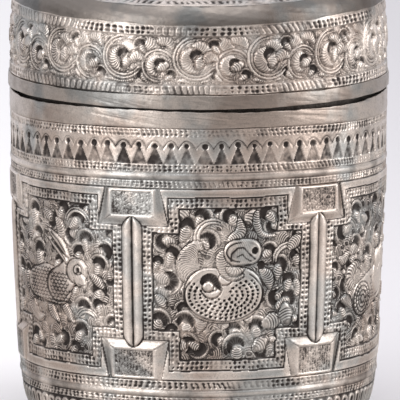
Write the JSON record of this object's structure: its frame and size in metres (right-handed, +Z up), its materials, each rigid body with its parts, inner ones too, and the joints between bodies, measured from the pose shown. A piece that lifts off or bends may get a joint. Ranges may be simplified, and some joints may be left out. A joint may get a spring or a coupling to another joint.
{
  "type": "betel box",
  "caption": "Round silver betel box with a slightly domed lift-off lid, a lift-out tray, and chased animal panels between upright ridges and mitred bosses.",
  "frame": {"origin": "centre of the underside of the foot ring, on the surface the box stands on", "axes": "+Z up along the box's axis, through the middle of the lid; -Y through the middle of one decorated panel; +X to the right when that panel is seen from in front"},
  "size_m": [0.093, 0.093, 0.113],
  "materials": {
    "chased_silver": "aged silver, chased and punched in relief, dark patina in the recesses and bright rubbed high points",
    "worn_silver": "plain aged silver, rubbed by handling, with faint bluish and brown tarnish patches",
    "plain_silver": "undecorated beaten silver, dull satin, lightly tarnished"
  },
  "bodies": {
    "body": {"foot_ring": "chased_silver", "base_disc": "plain_silver", "body_wall": "chased_silver", "body_rim_band": "worn_silver", "mouth_collar": "plain_silver"},
    "lid": {"lid_wall": "chased_silver", "lid_rim_band": "worn_silver", "lid_shoulder_moulding": "worn_silver", "lid_top": "chased_silver"},
    "tray": {"tray_floor": "plain_silver", "tray_wall": "plain_silver", "tray_rim_wire": "worn_silver"}
  },
  "joints": [
    {"name": "lid_lift", "type": "slide", "parent": "body", "child": "lid", "axis": [0, 0, 1], "range_m": [0, 0.12]},
    {"name": "tray_lift", "type": "slide", "parent": "body", "child": "tray", "axis": [0, 0, 1], "range_m": [0, 0.054]}
  ],
  "couplings": [
    {"joint": "tray_lift", "follows": "lid_lift", "ratio": 0.45}
  ]
}
